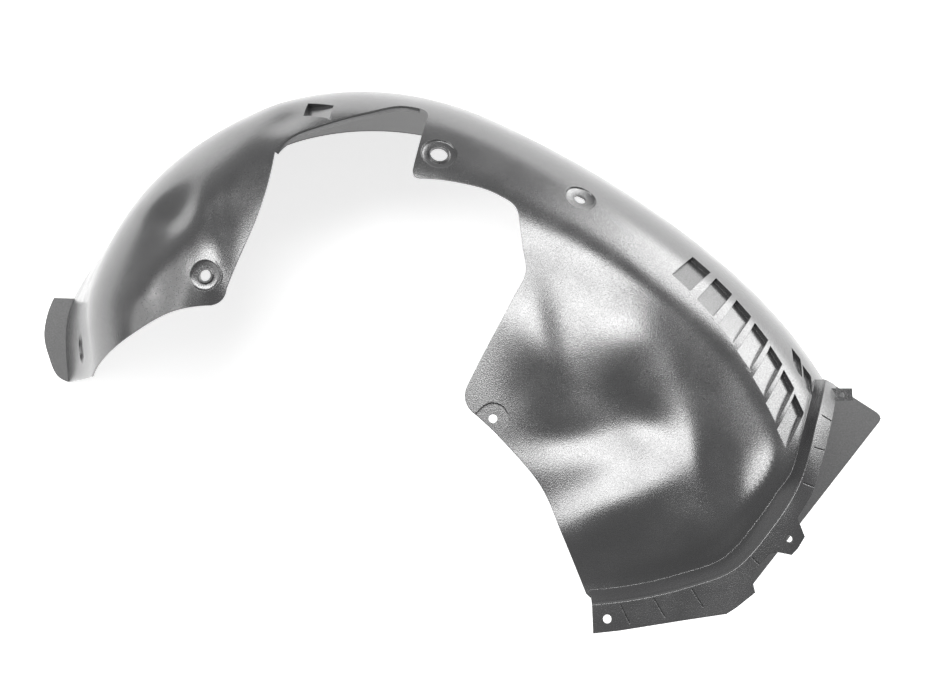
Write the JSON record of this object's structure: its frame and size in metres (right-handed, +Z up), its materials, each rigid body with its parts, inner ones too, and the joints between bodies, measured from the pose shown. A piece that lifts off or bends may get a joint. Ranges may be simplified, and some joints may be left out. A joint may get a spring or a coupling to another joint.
{
  "type": "wheel arch liner",
  "caption": "Moulded plastic wheel arch liner: an arched skin with a cut-out for the strut, louvre pockets, dished fixing holes and a slotted border flange.",
  "frame": {"origin": "centre of the bounding box in plan, on the surface that the rim lies on", "axes": "+Z up, along the wheel's axle, from the rim towards the inner wall; +X along the length, from the rear tip to the front flap"},
  "size_m": [1.093, 0.6519, 0.2978],
  "materials": {
    "liner_plastic": "satin"
  },
  "bodies": {
    "root": {"wheel_arch_liner": "liner_plastic"}
  },
  "joints": []
}
